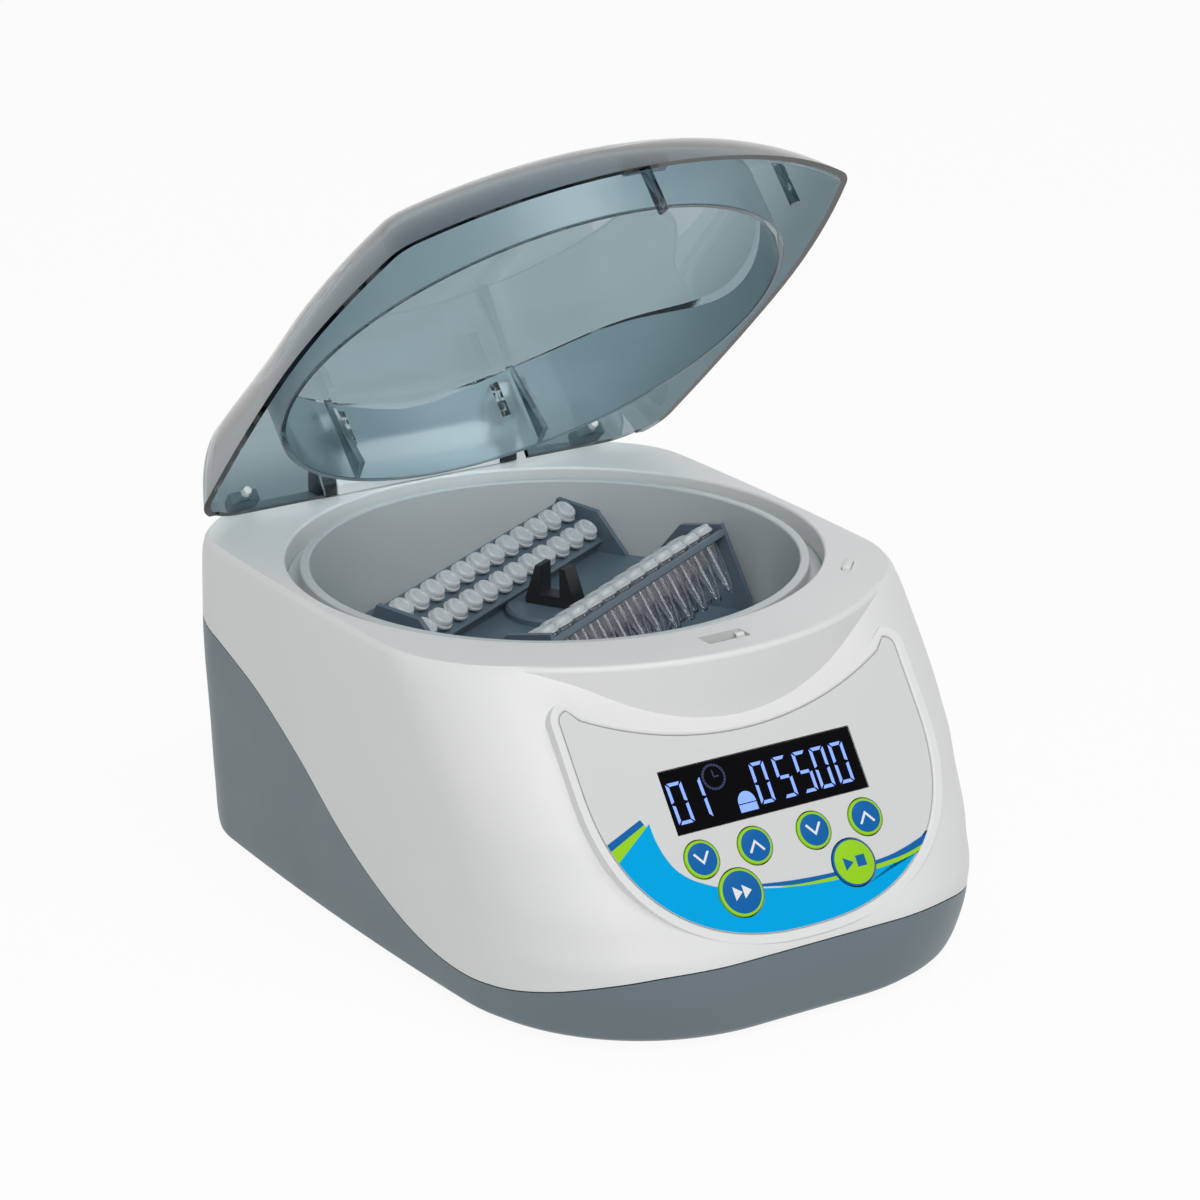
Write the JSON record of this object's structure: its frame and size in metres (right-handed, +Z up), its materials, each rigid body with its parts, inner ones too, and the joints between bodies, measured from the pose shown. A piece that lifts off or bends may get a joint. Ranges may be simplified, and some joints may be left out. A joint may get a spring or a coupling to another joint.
{
  "type": "strip tube mini centrifuge",
  "caption": "Bench-top mini centrifuge for strips of sample tubes, with a sloping control panel and a hinged smoked lid over its bowl.",
  "frame": {"origin": "on the bench under the middle of the object's box", "axes": "+Z up, -Y out of the sloping control panel at the front, +X to the right of a person facing the panel"},
  "size_m": [0.171, 0.2338, 0.2303],
  "materials": {
    "housing_white": "fine satin moulded plastic",
    "base_grey": "slate grey satin plastic",
    "bowl_grey": "light grey satin plastic",
    "lid_smoke": "clear blue-grey tinted plastic",
    "rotor_slate": "slate blue satin plastic",
    "tube_clear": "frosted clear polypropylene",
    "black_plastic": "fine black plastic",
    "panel_print": "printed satin film",
    "display_black": "smooth dark window",
    "key_blue": "satin blue with a lime edge",
    "key_lime": "satin lime with a blue edge",
    "white_plastic": "plain white plastic",
    "steel": "turned and zinc plated",
    "cast_aluminium": "plain die-cast",
    "rubber_black": "matt rubber",
    "circuit_board": "green solder mask"
  },
  "bodies": {
    "housing": {"upper_housing": "housing_white", "lower_housing": "base_grey", "bowl": "bowl_grey", "panel_overlay": "panel_print", "display_window": "display_black", "display_module": "display_black", "control_board": "circuit_board", "hinge_block": "housing_white", "lid_lock_bracket": "steel", "lid_lock_actuator": "black_plastic", "lid_sensor_switch": "black_plastic", "motor_body": "cast_aluminium", "motor_plate": "cast_aluminium", "shaft_seal": "rubber_black", "main_board": "circuit_board", "switch_bezel": "black_plastic", "power_socket": "black_plastic", "motor_damper_1": "rubber_black", "motor_damper_2": "rubber_black", "motor_damper_3": "rubber_black", "foot_1": "rubber_black", "foot_2": "rubber_black", "foot_3": "rubber_black", "foot_4": "rubber_black", "case_screw_1": "steel", "case_screw_2": "steel", "case_screw_3": "steel", "case_screw_4": "steel", "hinge_lug_left": "black_plastic", "hinge_lug_right": "black_plastic"},
    "lid": {"lid_shell": "lid_smoke", "lid_hook": "white_plastic", "lid_sensor_peg": "lid_smoke", "hinge_pin_left": "steel", "hinge_pin_right": "steel", "lid_pad_left": "white_plastic", "lid_pad_right": "white_plastic"},
    "rotor": {"rotor_body": "rotor_slate", "motor_shaft": "steel", "hub_clip": "black_plastic", "strip_tubes_1": "tube_clear", "strip_caps_1": "tube_clear", "strip_tubes_2": "tube_clear", "strip_caps_2": "tube_clear", "strip_tubes_3": "tube_clear", "strip_caps_3": "tube_clear", "strip_tubes_4": "tube_clear", "strip_caps_4": "tube_clear"},
    "key_time_down": {"key_time_down": "key_blue"},
    "key_time_up": {"key_time_up": "key_blue"},
    "key_speed_down": {"key_speed_down": "key_blue"},
    "key_speed_up": {"key_speed_up": "key_blue"},
    "key_pulse": {"key_pulse": "key_blue"},
    "key_run": {"key_run": "key_lime"},
    "lock_bolt": {"lid_lock_bolt": "steel"},
    "sensor_lever": {"lid_sensor_lever": "white_plastic"},
    "rocker": {"power_rocker": "black_plastic"}
  },
  "joints": [
    {"name": "lid_hinge", "type": "hinge", "parent": "housing", "child": "lid", "pos_m": [0, 0.10199, 0.1158], "axis": [1, 0, 0], "range_deg": [0, 43]},
    {"name": "rotor_spin", "type": "hinge", "parent": "housing", "child": "rotor", "pos_m": [0, 0.01989, 0.07], "axis": [0, 0, 1], "continuous": true},
    {"name": "key_time_down_press", "type": "slide", "parent": "housing", "child": "key_time_down", "axis": [0, 0.8161, -0.5779], "range_m": [0, 0.0006], "stiffness_N_per_m": 2500},
    {"name": "key_time_up_press", "type": "slide", "parent": "housing", "child": "key_time_up", "axis": [0, 0.8161, -0.5779], "range_m": [0, 0.0006], "stiffness_N_per_m": 2500},
    {"name": "key_speed_down_press", "type": "slide", "parent": "housing", "child": "key_speed_down", "axis": [0, 0.8161, -0.5779], "range_m": [0, 0.0006], "stiffness_N_per_m": 2500},
    {"name": "key_speed_up_press", "type": "slide", "parent": "housing", "child": "key_speed_up", "axis": [0, 0.8161, -0.5779], "range_m": [0, 0.0006], "stiffness_N_per_m": 2500},
    {"name": "key_pulse_press", "type": "slide", "parent": "housing", "child": "key_pulse", "axis": [0, 0.8161, -0.5779], "range_m": [0, 0.0006], "stiffness_N_per_m": 2500},
    {"name": "key_run_press", "type": "slide", "parent": "housing", "child": "key_run", "axis": [0, 0.8161, -0.5779], "range_m": [0, 0.0006], "stiffness_N_per_m": 2500},
    {"name": "lock_bolt_slide", "type": "slide", "parent": "housing", "child": "lock_bolt", "axis": [1, 0, 0], "range_m": [0, 0.004]},
    {"name": "sensor_lever_press", "type": "slide", "parent": "housing", "child": "sensor_lever", "axis": [0, 0, -1], "range_m": [0, 0.002], "stiffness_N_per_m": 300},
    {"name": "rocker_tilt", "type": "hinge", "parent": "housing", "child": "rocker", "pos_m": [-0.034, 0.11153, 0.02583], "axis": [-1, 0, 0], "range_deg": [0, 16]}
  ]
}
